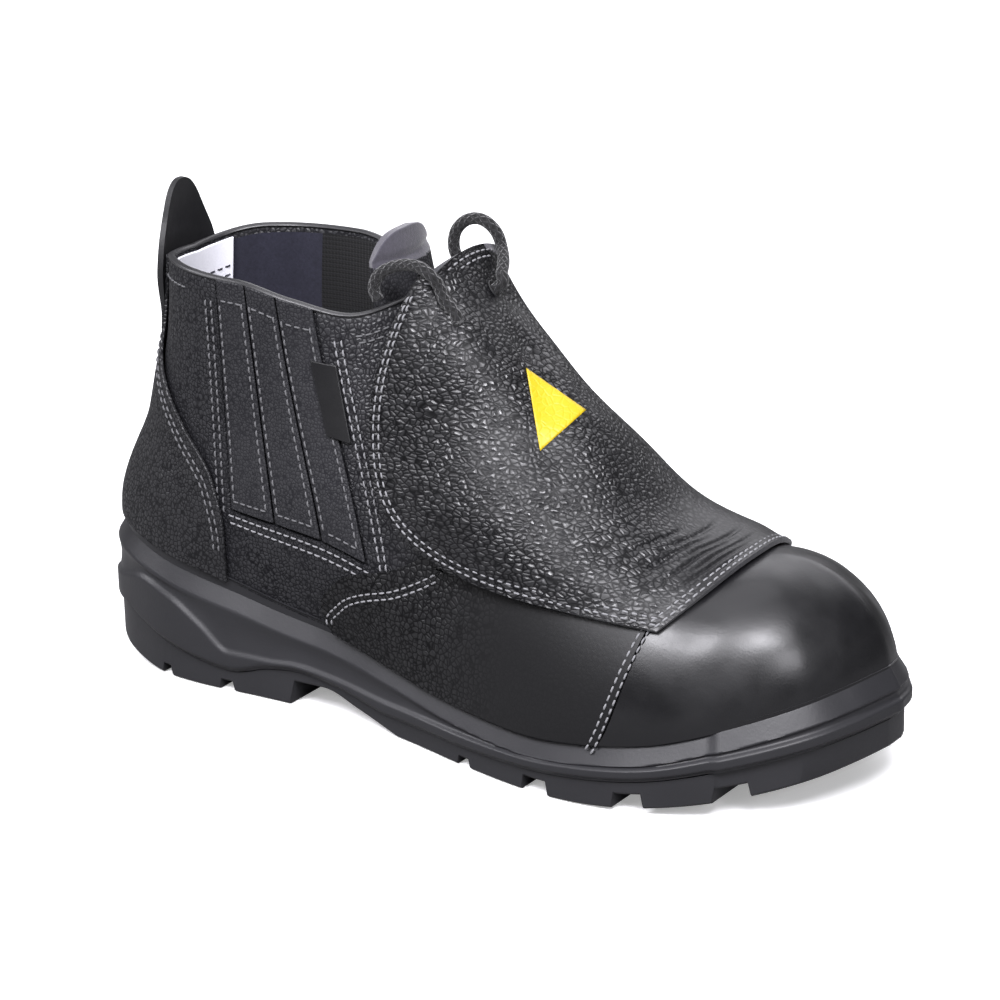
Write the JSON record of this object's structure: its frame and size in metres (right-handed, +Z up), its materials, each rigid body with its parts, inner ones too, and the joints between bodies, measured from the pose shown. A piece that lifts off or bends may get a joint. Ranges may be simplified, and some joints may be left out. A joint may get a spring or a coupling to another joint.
{
  "type": "metatarsal guard boot",
  "caption": "Low elastic-sided safety boot with a toe cap and a leather guard over the instep tied at its top; right foot, empty, standing on its sole.",
  "frame": {"origin": "on the heel's flat tread, where it touches the ground, 50 mm ahead of the back of the sole", "axes": "+X toward the toe along the boot, +Y toward the inner (medial) side of the right foot, +Z up"},
  "size_m": [0.3014, 0.1107, 0.1672],
  "materials": {
    "tread": "matt moulded",
    "sole_wall": "matt moulded with a slight sheen",
    "insole": "nonwoven felt",
    "grained_leather": "pebbled, semi-gloss",
    "vamp_leather": "pebbled, pressed smooth toward the toe",
    "smooth_leather": "smooth, glossy",
    "counter_leather": "pebbled, semi-gloss",
    "strip_leather": "fine grain, stitched edges",
    "guard_leather": "bold pebble, semi-gloss",
    "suede": "grey nap",
    "tab_leather": "smooth",
    "pale_patch": "matt",
    "tag": "matt",
    "cord": "braided"
  },
  "bodies": {
    "root": {"outsole": "tread", "midsole": "sole_wall", "insole": "insole", "upper": "grained_leather", "vamp": "vamp_leather", "toe_cap": "smooth_leather", "heel_counter": "counter_leather", "metatarsal_guard": "guard_leather", "tongue": "suede", "pull_tab": "tab_leather", "heel_patch": "pale_patch", "side_tag": "tag", "lace_lateral": "cord", "lace_medial": "cord", "gore_strip_lateral_1": "strip_leather", "gore_strip_lateral_2": "strip_leather", "gore_strip_lateral_3": "strip_leather", "gore_strip_medial_1": "strip_leather", "gore_strip_medial_2": "strip_leather", "gore_strip_medial_3": "strip_leather"}
  },
  "joints": []
}
